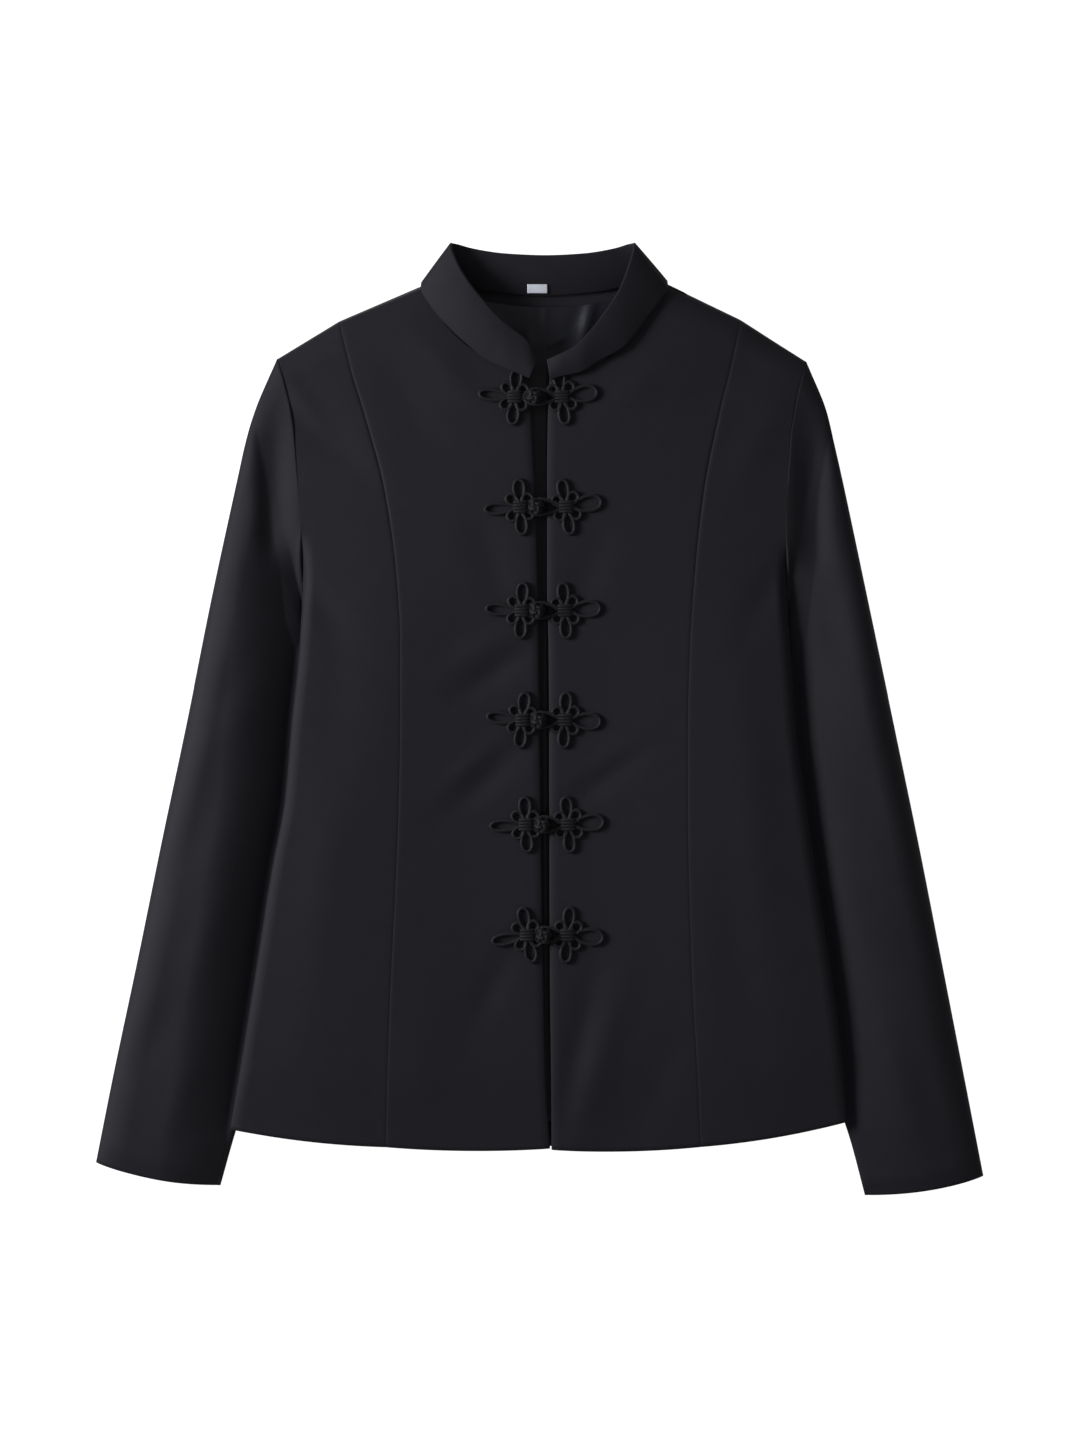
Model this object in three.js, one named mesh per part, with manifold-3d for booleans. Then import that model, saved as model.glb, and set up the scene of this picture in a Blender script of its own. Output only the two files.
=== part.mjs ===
// Tang jacket laid flat, front up: hollow cloth walls, stand collar, two-piece sleeves, six cord frogs.
// Millimetres. +X is to the viewer's right, +Y towards the collar, +Z up from the surface it lies on.
import * as THREE from 'three';
import { mergeVertices } from 'three/addons/utils/BufferGeometryUtils.js';
import Module from 'manifold-3d';

const wasm = await Module();
wasm.setup();

// ---- driving sizes -------------------------------------------------------------------------------
const CLOTH = 1.6;               // wall thickness of the suiting
const LINING = 1.0;              // wall thickness of the lining
const SEAM_GAP = 0.3;            // space between two pieces at a seam
const LAY_GAP = 0.6;             // space under what lies on a panel
const UNDERARM = 0.6;            // level of the underarm, from hem 0 to shoulder 1
const ARMHOLE_STEPS = 10;        // rows of the armhole, shared by body and sleeve
const SLEEVE_SEAM_GAP = 0.9;     // the same along the folds of a sleeve
const SIDE_ROLL = 9;             // reach of the rounded side fold
const SHOULDER_ROLL = 20;        // reach of the rounded shoulder
const EDGE_ROLL = 7;             // reach of the turned front edge
const SHOULDER_FOLD_Z = 6.5;     // height of the shoulder seam
const UNDER_RAISE = 10.2;        // height of the back where it passes over a sleeve
const SLEEVE_LOW = 7.4;          // height of a sleeve where the body lies on it
const SLEEVE_ROLL = 14;          // reach of the sleeve's rounded outer fold
const SLEEVE_INNER_ROLL = 5;     // reach of its inner fold
const CORD = 2.4;                // thickness of the frog cord
const KNOT_RADIUS = 5.4;         // ball knot
const RING_INSIDE = 6;           // the loop round the knot
const RING_OUTSIDE = 8.4;
const KNOT_CLEAR = 1;            // the knot's half of the frog stops this far from the loop
const COLLAR_WALL = 1.8;
const COLLAR_BULGE = 1.2;        // how far the band rounds out between foot and top
const CUFF_SAG = 3.4;            // the cuff's edge is bowed by this much
const HEM_SAG = 2.4;
const BACK_SAG = 17;             // the back hem is bowed by this much between the side seams
const UNDERARM_EASE = 1.9;       // how much further apart body and sleeve are at the underarm
const ARMHOLE_Z = 16.5;          // height of the sleeve beside the armhole seam
const LINING_HEM_HALF = 30;      // the lining reaches this far to each side, at hem and neck
const LINING_NECK_HALF = 54;
const LINING_HEM_Y = -300;
const LINING_NECK_Y = 315.5;
const LINING_MIDDLE_X = 4;
const LINING_NECK_DIP = 6;       // the lining's upper edge hangs this much lower in the middle
const FOREARM_SEAM = 1;          // column of the seam on the under side, counted from the inner fold
const HINDARM_SEAM = 8;          // column of the seam on the under side, near the outer fold

// ---- the cut, one row for each level -------------------------------------------------------------
// x is measured outward from the centre. edge: front edge, then neck seam. seam: princess seam.
// side: side fold, then armhole seam. level: 0 hem, UNDERARM, 1 shoulder.
const LEFT = {
  name: 'left',
  sign: -1,
  body: [
    { level: 0, edge: [-7.5, -320], seam: [115, -318.6], side: [231, -305] },
    { level: 0.07, edge: [-3.9, -262], seam: [113.5, -261], side: [223, -257] },
    { level: 0.15, edge: [-2.8, -207], seam: [111.5, -205], side: [214, -202] },
    { level: 0.28, edge: [-1.2, -113], seam: [107, -113], side: [200, -113] },
    { level: 0.36, edge: [-0.5, -59], seam: [105, -59], side: [190, -59] },
    { level: 0.44, edge: [0.3, -3], seam: [104, -3], side: [185, -3] },
    { level: 0.53, edge: [1, 58], seam: [104, 58], side: [179, 58] },
    { level: 0.6, edge: [1.8, 106], seam: [106.6, 106], side: [177, 106] },
    { level: 0.738, edge: [4.4, 185], seam: [115.5, 170], side: [179.3, 161] },
    { level: 0.862, edge: [10, 255.5], seam: [131, 229], side: [182.8, 214] },
    { level: 0.918, edge: [48.4, 274.6], seam: [140, 258], side: [186, 236] },
    { level: 0.962, edge: [73.9, 299], seam: [145.5, 279.8], side: [190.5, 254.5] },
    { level: 1, edge: [87, 325], seam: [150, 298], side: [196, 270] },
  ],
  sleeve: [
    { level: 0, inner: [179.2, 106], outer: [196, 270] },
    { level: 0.06, inner: [178.6, 78.8], outer: [211.5, 234] },
    { level: 0.1, inner: [176.4, 60.6], outer: [218.8, 210] },
    { level: 0.15, inner: [172, 38], outer: [225.5, 180] },
    { level: 0.3, inner: [164, -30], outer: [245, 90] },
    { level: 0.45, inner: [171.5, -98], outer: [263, 0] },
    { level: 0.6, inner: [184.5, -166], outer: [282, -90] },
    { level: 0.75, inner: [201.4, -234.5], outer: [300.4, -180] },
    { level: 0.9, inner: [226, -302.6], outer: [319.5, -270] },
    { level: 1, inner: [239, -348], outer: [331.5, -330] },
  ],
};

const RIGHT = {
  name: 'right',
  sign: 1,
  body: [
    { level: 0, edge: [8.6, -321], seam: [120, -318.4], side: [229, -299.5] },
    { level: 0.07, edge: [8.2, -258], seam: [117, -257], side: [225, -253] },
    { level: 0.15, edge: [7.5, -204], seam: [113.7, -203], side: [218.4, -200] },
    { level: 0.28, edge: [6.95, -114], seam: [110.8, -114], side: [205.2, -114] },
    { level: 0.36, edge: [6.85, -61], seam: [110, -61], side: [197.6, -61] },
    { level: 0.44, edge: [6.75, -8], seam: [110, -8], side: [190.7, -8] },
    { level: 0.53, edge: [6.3, 52], seam: [111.5, 52], side: [186.4, 52] },
    { level: 0.6, edge: [5.2, 100], seam: [114.5, 100], side: [184, 98] },
    { level: 0.738, edge: [5.2, 180.6], seam: [121.8, 168.7], side: [184, 156.7] },
    { level: 0.862, edge: [7, 253], seam: [134, 230], side: [186.2, 209.4] },
    { level: 0.918, edge: [52, 270.7], seam: [141, 258], side: [189.3, 233] },
    { level: 0.962, edge: [78.8, 298.2], seam: [146, 280], side: [193.6, 252] },
    { level: 1, edge: [93, 326.5], seam: [150, 299], side: [198.5, 268] },
  ],
  sleeve: [
    { level: 0, inner: [186.2, 98], outer: [198.5, 268] },
    { level: 0.06, inner: [185.6, 70.8], outer: [213.5, 231.5] },
    { level: 0.1, inner: [183.4, 52.7], outer: [219.2, 207.2] },
    { level: 0.15, inner: [179, 30], outer: [226, 176.8] },
    { level: 0.3, inner: [171, -38], outer: [245.3, 85.6] },
    { level: 0.45, inner: [178.1, -106], outer: [264.4, -5.6] },
    { level: 0.6, inner: [190.5, -174], outer: [283.3, -96.8] },
    { level: 0.75, inner: [205.7, -242], outer: [301.2, -188] },
    { level: 0.9, inner: [230.8, -310], outer: [319.1, -279.2] },
    { level: 1, inner: [243, -355.4], outer: [331, -340] },
  ],
};

// Heights above the surface at each level of the body: middle of the front, its side, the side fold.
const BODY_HEIGHTS = [
  { level: 0, middle: 12.5, side: 17.5, fold: 13 },
  { level: 0.15, middle: 14, side: 20.5, fold: 15.5 },
  { level: 0.4, middle: 15, side: 21, fold: 15.5 },
  { level: 0.53, middle: 16, side: 20.5, fold: 14.5 },
  { level: 0.6, middle: 17, side: 19, fold: 9 },
  { level: 0.74, middle: 17, side: 18, fold: 9 },
  { level: 0.862, middle: 16, side: 16.5, fold: 8 },
  { level: 1, middle: 14, side: 13.5, fold: SHOULDER_FOLD_Z },
];

// Heights of the sleeves: top of the crown, outer fold, inner fold.
const SLEEVE_HEIGHTS = [
  { level: 0, crown: 18, outer: 6.5, inner: 9 },
  { level: 0.06, crown: 20, outer: 9.5, inner: 3.7 },
  { level: 0.15, crown: 23, outer: 11, inner: 3.7 },
  { level: 0.4, crown: 27, outer: 12, inner: 3.7 },
  { level: 0.75, crown: 25, outer: 11.5, inner: 3.7 },
  { level: 1, crown: 19, outer: 9.5, inner: 5 },
];

// The collar, from the left front end round the back to the right front end.
// foot: where it is sewn to the neck. top: its upper edge.
const COLLAR = [
  { foot: [-8, 254, 20.8], top: [-2.5, 266, 21] },
  { foot: [-15, 257, 20.9], top: [-9, 281.5, 23.5] },
  { foot: [-26, 261.5, 20.9], top: [-20, 290.5, 25] },
  { foot: [-40, 268, 20], top: [-31, 299.5, 26.5] },
  { foot: [-54, 279, 20], top: [-43, 313, 27.5] },
  { foot: [-69, 293, 19], top: [-52.5, 325, 28] },
  { foot: [-83, 310, 17.5], top: [-60.5, 338, 27.5] },
  { foot: [-89, 321, 14.5], top: [-66, 351.5, 25] },
  { foot: [-88.5, 327, 10.5], top: [-66.5, 355, 20.5] },
  { foot: [-83, 329, 6.5], top: [-62, 354.5, 16] },
  { foot: [-62, 325, 4], top: [-50, 351.5, 14] },
  { foot: [-30, 320, 3.6], top: [-26, 347.8, 14] },
  { foot: [3, 318, 3.6], top: [4, 346.5, 14] },
  { foot: [36, 320, 3.6], top: [32, 347.8, 14] },
  { foot: [68, 325.5, 4], top: [55, 351.5, 14] },
  { foot: [89, 330, 6.5], top: [66, 354.5, 16] },
  { foot: [95, 328, 10.5], top: [70.5, 355, 20.5] },
  { foot: [95.5, 322, 14.5], top: [70, 351.5, 25] },
  { foot: [90, 313, 17.5], top: [66, 338, 27.5] },
  { foot: [78, 297, 19], top: [60, 322, 28] },
  { foot: [62, 277, 20], top: [51, 307, 27.5] },
  { foot: [45, 267.5, 20], top: [38, 290, 26.5] },
  { foot: [30, 258.5, 20.9], top: [26, 278, 25] },
  { foot: [16, 255.5, 20.9], top: [13.5, 271.5, 23.5] },
  { foot: [7.5, 253, 20.8], top: [5, 268, 21] },
];

// Frogs: one row for each, from the neck to the hem: height, ball knot, left and right flower.
const FROGS = [
  { y: 240.5, knot: -4.7, left: -18.8, right: 16.2 },
  { y: 158.5, knot: -3.1, left: -14.6, right: 19.4 },
  { y: 81.5, knot: -2.2, left: -13.6, right: 18.4 },
  { y: 0, knot: -1.1, left: -13, right: 18.6 },
  { y: -77.8, knot: 1.5, left: -10.4, right: 20.9 },
  { y: -160, knot: 2.8, left: -9.4, right: 20.6 },
];

// Petals of a flower: direction in degrees, reach, and how far round they spread.
const PETALS = [
  { angle: 0, reach: 27, spread: 30 },
  { angle: 45, reach: 13, spread: 45 },
  { angle: 90, reach: 21, spread: 28 },
  { angle: 135, reach: 13, spread: 45 },
  { angle: 225, reach: 13, spread: 45 },
  { angle: 270, reach: 21, spread: 28 },
  { angle: 315, reach: 13, spread: 45 },
];
const PETAL_HOLE = { x: 18, along: 5, across: 1.8 };
const FLOWER_MIDDLE = 6.5;

const LABEL = { width: 15, height: 6.7, thick: 0.8, tilt: 0.36, at: [-2, 322, 8.4] };

const MATERIALS = {
  suiting: new THREE.MeshStandardMaterial({ color: 0x1f1e25, roughness: 0.72, metalness: 0 }),
  lining: new THREE.MeshStandardMaterial({ color: 0x1b1d2a, roughness: 0.4, metalness: 0 }),
  cord: new THREE.MeshStandardMaterial({ color: 0x15151a, roughness: 0.6, metalness: 0 }),
  label: new THREE.MeshStandardMaterial({ color: 0xb9bcc4, roughness: 0.6, metalness: 0 }),
};

// ---- small helpers -------------------------------------------------------------------------------
const mix = (a, b, t) => a + (b - a) * t;
const clamp = (t) => Math.min(1, Math.max(0, t));
const smooth = (t) => clamp(t) ** 2 * (3 - 2 * clamp(t));
const roll = (distance, reach) => Math.sqrt(1 - (1 - clamp(distance / reach)) ** 2);
function cosineSteps(count) {
  return Array.from({ length: count + 1 }, (_, i) => (1 - Math.cos((Math.PI * i) / count)) / 2);
}

// A smooth curve through table values that never overshoots them.
function through(keys, values) {
  const n = keys.length;
  const slope = keys.slice(1).map((k, i) => (values[i + 1] - values[i]) / (k - keys[i]));
  const tangent = keys.map((_, i) => {
    if (i === 0) return slope[0];
    if (i === n - 1) return slope[n - 2];
    if (slope[i - 1] * slope[i] <= 0) return 0;
    return (2 * slope[i - 1] * slope[i]) / (slope[i - 1] + slope[i]);
  });
  return (key) => {
    const at = Math.min(n - 2, Math.max(0, keys.findIndex((k) => k > key) - 1));
    const i = key >= keys[n - 1] ? n - 2 : at;
    const width = keys[i + 1] - keys[i];
    const t = clamp((key - keys[i]) / width);
    const rise = t * t * (3 - 2 * t);
    return mix(values[i], values[i + 1], rise)
      + width * (t * (1 - t) ** 2 * tangent[i] - t * t * (1 - t) * tangent[i + 1]);
  };
}

function column(rows, name, axis) {
  const keys = rows.map((row) => row.level);
  const values = rows.map((row) => (axis === undefined ? row[name] : row[name][axis]));
  return through(keys, values);
}

// The same column as x for a given y, for distances from an edge.
function acrossAt(rows, name) {
  const sorted = [...rows].sort((a, b) => a[name][1] - b[name][1]);
  return through(sorted.map((row) => row[name][1]), sorted.map((row) => row[name][0]));
}

const point = (rows, name) => {
  const x = column(rows, name, 0);
  const y = column(rows, name, 1);
  return (level) => [x(level), y(level)];
};

// ---- a cloth wall from a grid ---------------------------------------------------------------------
// place(u, v) gives the outer surface; the wall is thickness deep on its other side.
function wall(us, vs, place, thickness, side, firstRow, gap = SEAM_GAP) {
  const points = vs.flatMap((v, j) => us.map((u) => {
    if (j === 0 && firstRow) return firstRow(u);
    return wallPoint(place, u, v, typeof thickness === 'function' ? thickness(u, v) : thickness, side);
  }));
  const outer = drawnIn(points.map(([face]) => face), us.length, vs.length, gap);
  const inner = drawnIn(points.map(([, back]) => back), us.length, vs.length, gap);
  return shell(outer, inner, us.length, vs.length);
}

// The outermost columns and rows moved in by half a seam gap, towards their neighbours.
function drawnIn(grid, columns, rows, gap) {
  const moves = grid.map((from, k) => {
    const i = k % columns;
    const j = (k - i) / columns;
    const move = new THREE.Vector3();
    const towards = (to) => move.add(to.clone().sub(from).setLength(gap / 2));
    if (i === 0) towards(grid[k + 1]);
    if (i === columns - 1) towards(grid[k - 1]);
    if (j === 0) towards(grid[k + columns]);
    if (j === rows - 1) towards(grid[k - columns]);
    return move;
  });
  return grid.map((from, k) => from.clone().add(moves[k]));
}

function wallPoint(place, u, v, thickness, side) {
  const step = 1e-5;
  const here = place(u, v);
  const alongU = place(u + step, v).sub(place(u - step, v));
  const alongV = place(u, v + step).sub(place(u, v - step));
  const normal = alongU.cross(alongV).normalize().multiplyScalar(side * thickness);
  return [here, here.clone().sub(normal)];
}

function shell(outer, inner, columns, rows) {
  const positions = [...outer, ...inner].flatMap((p) => [p.x, p.y, p.z]);
  const half = outer.length;
  const faces = [];
  const quad = (a, b, c, d) => faces.push(a, b, c, a, c, d);
  for (let j = 0; j + 1 < rows; j += 1) {
    for (let i = 0; i + 1 < columns; i += 1) {
      const a = j * columns + i;
      const b = a + 1;
      const c = b + columns;
      const d = a + columns;
      quad(a, b, c, d);
      quad(half + a, half + d, half + c, half + b);
    }
  }
  const rim = (a, b) => quad(b, a, half + a, half + b);
  for (let i = 0; i + 1 < columns; i += 1) {
    rim(i, i + 1);
    rim((rows - 1) * columns + i + 1, (rows - 1) * columns + i);
  }
  for (let j = 0; j + 1 < rows; j += 1) {
    rim(j * columns + columns - 1, (j + 1) * columns + columns - 1);
    rim((j + 1) * columns, j * columns);
  }
  return facingOut(positions, faces);
}

function facingOut(positions, faces) {
  const corner = (i) => new THREE.Vector3().fromArray(positions, 3 * i);
  let volume = 0;
  for (let k = 0; k < faces.length; k += 3) {
    volume += corner(faces[k]).dot(corner(faces[k + 1]).cross(corner(faces[k + 2])));
  }
  if (volume < 0) faces.reverse();
  const geometry = new THREE.BufferGeometry();
  geometry.setAttribute('position', new THREE.Float32BufferAttribute(positions, 3));
  geometry.setIndex(faces);
  geometry.computeVertexNormals();
  return geometry;
}

function solidOf(geometry) {
  const bare = geometry.clone();
  bare.deleteAttribute('normal');
  const merged = mergeVertices(bare, 1e-3);
  const vertProperties = merged.getAttribute('position').array;
  const triVerts = new Uint32Array(merged.index.array);
  return new wasm.Manifold(new wasm.Mesh({ numProp: 3, vertProperties, triVerts }));
}

// What is left of a wall where its neighbour turns under it: the largest piece outside the neighbour.
function clearOf(geometry, neighbour) {
  const pieces = solidOf(geometry).subtract(solidOf(neighbour)).decompose();
  const largest = pieces.reduce((a, b) => (b.volume() > a.volume() ? b : a));
  const mesh = largest.getMesh();
  return facingOut([...mesh.vertProperties], [...mesh.triVerts]);
}

const jacket = new THREE.Group();
const made = (name) => jacket.children.find((mesh) => mesh.name === name).geometry;

function add(name, geometry, material) {
  const mesh = new THREE.Mesh(geometry, material);
  mesh.name = name;
  jacket.add(mesh);
}

// ---- the body's surfaces --------------------------------------------------------------------------
const bodyHeight = {
  middle: column(BODY_HEIGHTS, 'middle'),
  side: column(BODY_HEIGHTS, 'side'),
  fold: column(BODY_HEIGHTS, 'fold'),
};

function bodyOf(part) {
  const edge = point(part.body, 'edge');
  const seam = point(part.body, 'seam');
  const side = point(part.body, 'side');
  const last = part.body.at(-1);
  const shoulder = [last.edge, last.seam, last.side];
  const shoulderY = (x) => {
    const [from, to] = x < shoulder[1][0] ? [shoulder[0], shoulder[1]] : [shoulder[1], shoulder[2]];
    return mix(from[1], to[1], (x - from[0]) / (to[0] - from[0]));
  };
  return { part, edge, seam, side, shoulderY, sleeveInner: acrossAt(part.sleeve, 'inner') };
}

const sideClosing = (level) => 1 - smooth((level - UNDERARM) / 0.09);
const shoulderDistance = (body, x, y, level) => (level > 0.8 ? (body.shoulderY(x) - y) * 0.9 : 1e3);

// Front of the body at plan point (x, y), at a level, a distance in from the side and front edges.
function frontZ(body, x, y, level, fromSide, fromEdge) {
  const [sideX] = body.side(level);
  const across = smooth((x / sideX - 0.15) / 0.7);
  const hem = 2 * (1 - smooth(level * 14));
  const turned = 1.6 * (1 - roll(fromEdge, EDGE_ROLL));
  const top = mix(bodyHeight.middle(level), bodyHeight.side(level), across) - hem - turned;
  const fold = bodyHeight.fold(level);
  const nearSide = 1 - sideClosing(level) * (1 - roll(fromSide, SIDE_ROLL));
  return fold + (top - fold) * nearSide * roll(shoulderDistance(body, x, y, level), SHOULDER_ROLL);
}

// Back of the body: flat on the surface, lifted where it passes over the sleeve.
function backZ(body, x, y, level, fromSide) {
  const fold = bodyHeight.fold(level);
  const tuck = Math.max(0, body.side(level)[0] - body.sleeveInner(y));
  const raised = UNDER_RAISE * smooth((UNDERARM + 0.02 - level) / 0.06);
  const base = raised * (1 - smooth((fromSide - tuck - 7) / 34));
  const nearSide = 1 - sideClosing(level) * (1 - roll(fromSide, SIDE_ROLL - 2));
  return fold + (base - fold) * nearSide * roll(shoulderDistance(body, x, y, level), SHOULDER_ROLL * 0.7);
}

const LOWER_LEVELS = [0, 0.02, 0.07, 0.15, 0.23, 0.31, 0.38, 0.44, 0.49, 0.53, 0.56, 0.583];
const UPPER_LEVELS = cosineSteps(ARMHOLE_STEPS).map((t) => mix(UNDERARM, 1, t));
const LEVELS = [...LOWER_LEVELS, ...UPPER_LEVELS];

function frontPlace(body, from, to) {
  return (u, v) => {
    const [x0, y0] = from(v);
    const [x1, y1] = to(v);
    const x = mix(x0, x1, u);
    const sag = HEM_SAG * 4 * u * (1 - u) * (1 - smooth(v / 0.1));
    const y = mix(y0, y1, u) - sag;
    const z = frontZ(body, x, y, v, body.side(v)[0] - x, v < 0.86 ? x - body.edge(v)[0] : 1e3);
    return new THREE.Vector3(body.part.sign * x, y, z);
  };
}

function frontPanel(body, from, to, us) {
  return wall(us, LEVELS, frontPlace(body, from, to), CLOTH, body.part.sign);
}

function makeFronts(body) {
  const centre = frontPanel(body, body.edge, body.seam, [0, 0.06, 0.25, 0.5, 0.75, 1]);
  const side = frontPanel(body, body.seam, body.side, [0, 0.3, 0.6, 0.88, 0.94, 0.98, 1]);
  add(`front_centre_${body.part.name}`, centre, MATERIALS.suiting);
  add(`front_side_${body.part.name}`, clearOf(side, made('back')), MATERIALS.suiting);
}

function backPlace(left, right) {
  const neckLeft = LEFT.body.at(-1).edge;
  const neckRight = RIGHT.body.at(-1).edge;
  const tops = [
    [-LEFT.body.at(-1).side[0], LEFT.body.at(-1).side[1]],
    [-LEFT.body.at(-1).seam[0], LEFT.body.at(-1).seam[1]],
    [-neckLeft[0], neckLeft[1]],
    [3, 317],
    [neckRight[0], neckRight[1]],
    [RIGHT.body.at(-1).seam[0], RIGHT.body.at(-1).seam[1]],
    [RIGHT.body.at(-1).side[0], RIGHT.body.at(-1).side[1]],
  ];
  const stations = [0, 0.11, 0.27, 0.5, 0.73, 0.89, 1];
  const topX = through(stations, tops.map((p) => p[0]));
  const topY = (t) => {
    const i = Math.min(5, Math.max(0, stations.findIndex((s) => s > t) - 1));
    const k = t >= 1 ? 5 : i;
    return mix(tops[k][1], tops[k + 1][1], (t - stations[k]) / (stations[k + 1] - stations[k]));
  };
  return (u, v) => {
    const [xl, yl] = left.side(v);
    const [xr, yr] = right.side(v);
    const lift = smooth((v - UNDERARM) / (1 - UNDERARM));
    const chordX = mix(-tops[0][0], tops[6][0], u) + 2 * tops[0][0] * (1 - u);
    const x = mix(-xl, xr, u) + lift * (topX(u) - chordX);
    const chordY = mix(tops[0][1], tops[6][1], u);
    const sag = BACK_SAG * 4 * u * (1 - u) * (1 - smooth(v / UNDERARM));
    const y = mix(yl, yr, u) + lift * (topY(u) - chordY) - sag;
    const body = u < 0.5 ? left : right;
    const outward = Math.abs(x);
    return new THREE.Vector3(x, y, backZ(body, outward, y, v, body.side(v)[0] - outward));
  };
}

function makeBack(place) {
  const us = [0, 0.012, 0.04, 0.11, 0.19, 0.27, 0.31, 0.42, 0.58, 0.69, 0.73, 0.81, 0.89, 0.96, 0.988, 1];
  const geometry = wall(us, LEVELS, place, CLOTH, -1);
  add('back', geometry, MATERIALS.suiting);
}

// ---- sleeves --------------------------------------------------------------------------------------
const sleeveHeight = {
  crown: column(SLEEVE_HEIGHTS, 'crown'),
  outer: column(SLEEVE_HEIGHTS, 'outer'),
  inner: column(SLEEVE_HEIGHTS, 'inner'),
};

// The ridge beside the armhole seam and the crease that runs down next to it.
function capFold(fromSeam, aboveUnderarm) {
  const ridge = 1.5 * Math.exp(-(((fromSeam - 8) / 5) ** 2));
  const valley = 5 * Math.exp(-(((fromSeam - 21) / 8) ** 2));
  return smooth(aboveUnderarm / 40) * (ridge - valley);
}

// Space between body and sleeve, wider at the underarm, where both turn under.
const armholeGap = (u) => SEAM_GAP + UNDERARM_EASE * (1 - smooth(u / 0.5));

function sleeveOf(body) {
  const rows = body.part.sleeve;
  const inner = point(rows, 'inner');
  const outer = point(rows, 'outer');
  const outerX = acrossAt(rows, 'outer');
  const innerX = acrossAt(rows, 'inner');
  const bodyX = acrossAt(body.part.body.filter((row) => row.level <= UNDERARM), 'side');
  const armholeX = acrossAt(body.part.body.filter((row) => row.level >= UNDERARM), 'side');
  const armhole = (u) => {
    const [x, y] = body.side(mix(UNDERARM, 1, u));
    return [x + armholeGap(u), y];
  };
  const [underarmX, underarmY] = rows[0].inner;
  const [shoulderX, shoulderY] = rows[0].outer;

  const plan = (u, v) => {
    const [ix, iy] = inner(v);
    const [ox, oy] = outer(v);
    const [ax, ay] = armhole(u);
    const fade = (1 - v) ** 4;
    const cuffSag = CUFF_SAG * 4 * u * (1 - u) * smooth((v - 0.9) / 0.1);
    const x = mix(ix, ox, u) + fade * (ax - mix(underarmX, shoulderX, u));
    const y = mix(iy, oy, u) + fade * (ay - mix(underarmY, shoulderY, u)) - cuffSag;
    return [x, y];
  };

  const heights = (u, v) => {
    const [x, y] = plan(u, v);
    const above = y - underarmY;
    const fromInner = Math.max(u * 30, x - (above > 0 ? armholeX(y) + armholeGap(above / 164) : innerX(y)));
    const fromOuter = Math.max(0, outerX(y) - x);
    const innerRoll = mix(roll(fromInner, SLEEVE_INNER_ROLL), 1, smooth((above + 5) / 25));
    const closing = roll(fromOuter, SLEEVE_ROLL) * innerRoll;
    const fold = mix(sleeveHeight.inner(v), sleeveHeight.outer(v), smooth(u));
    const tuck = above > 0 ? 0 : Math.max(0, bodyX(y) - innerX(y));
    const low = mix(SLEEVE_LOW, ARMHOLE_Z, smooth((above + 10) / 60));
    const rise = smooth((fromInner - tuck - 8) / 36);
    const top = mix(low, sleeveHeight.crown(v), rise) + capFold(fromInner, above);
    const cuffTurn = 2 * (1 - smooth((1 - v) * 40));
    return { top: fold + (top - cuffTurn - fold) * closing, bottom: fold * (1 - closing), x, y };
  };

  const surface = (u, v, isTop) => {
    const { top, bottom, x, y } = heights(u, v);
    const level = mix(UNDERARM, 1, u);
    const [ax, ay] = body.side(level);
    const sewn = isTop ? frontZ(body, ax, ay, level, 0, 1e3) : backZ(body, ax, ay, level, 0);
    const join = 1 - smooth(v / 0.08);
    return new THREE.Vector3(body.part.sign * x, y, mix(isTop ? top : bottom, sewn, join));
  };
  return surface;
}

const ROUND = cosineSteps(ARMHOLE_STEPS);
const SLEEVE_LEVELS = [0, 0.03, 0.06, 0.1, 0.15, 0.22, 0.3, 0.4, 0.5, 0.6, 0.7, 0.8, 0.9, 0.975, 1];

// Round the tube: 0 to 1 over the top from the inner to the outer fold, 1 to 2 back underneath, and
// below 0 underneath again from the inner fold.
function sleevePiece(body, surface, back, stops) {
  const across = (around) => Math.min(Math.abs(around), 2 - around);
  const isOver = (around) => around >= 0 && around <= 1;
  const place = (around, v) => surface(across(around), v, isOver(around));
  const thickness = (around, v) => CLOTH * mix(0.6, 1, smooth(Math.hypot(v / 0.13, across(around) / 0.45)));
  const front = frontPlace(body, body.seam, body.side);
  const armholeRow = (around) => {
    const u = across(around);
    const level = mix(UNDERARM, 1, u);
    const backEdge = body.part === LEFT ? 0 : 1;
    const sewn = isOver(around)
      ? wallPoint(front, 1, level, CLOTH, body.part.sign)
      : wallPoint(back, backEdge, level, CLOTH, -1);
    const own = wallPoint(place, around, 0, thickness(around, 0), -body.part.sign);
    const shift = new THREE.Vector3(body.part.sign * armholeGap(u), 0, 0);
    return sewn.map((p, i) => own[i].clone().lerp(p.add(shift), smooth((u - 0.1) / 0.4)));
  };
  return wall(stops, SLEEVE_LEVELS, place, thickness, -body.part.sign, armholeRow, SLEEVE_SEAM_GAP);
}

function makeSleeves(body, back) {
  const surface = sleeveOf(body);
  const over = [...ROUND, ...ROUND.slice(0, -1).map((u) => 2 - u).reverse()];
  const hind = 2 * ARMHOLE_STEPS - HINDARM_SEAM;
  const top = [...ROUND.slice(1, FOREARM_SEAM + 1).map((u) => -u).reverse(), ...over.slice(0, hind + 1)];
  const under = over.slice(hind, over.length - FOREARM_SEAM);
  const topPiece = sleevePiece(body, surface, back, top);
  const underPiece = sleevePiece(body, surface, back, under);
  add(`sleeve_top_${body.part.name}`, topPiece, MATERIALS.suiting);
  add(`sleeve_under_${body.part.name}`, underPiece, MATERIALS.suiting);
}

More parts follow.
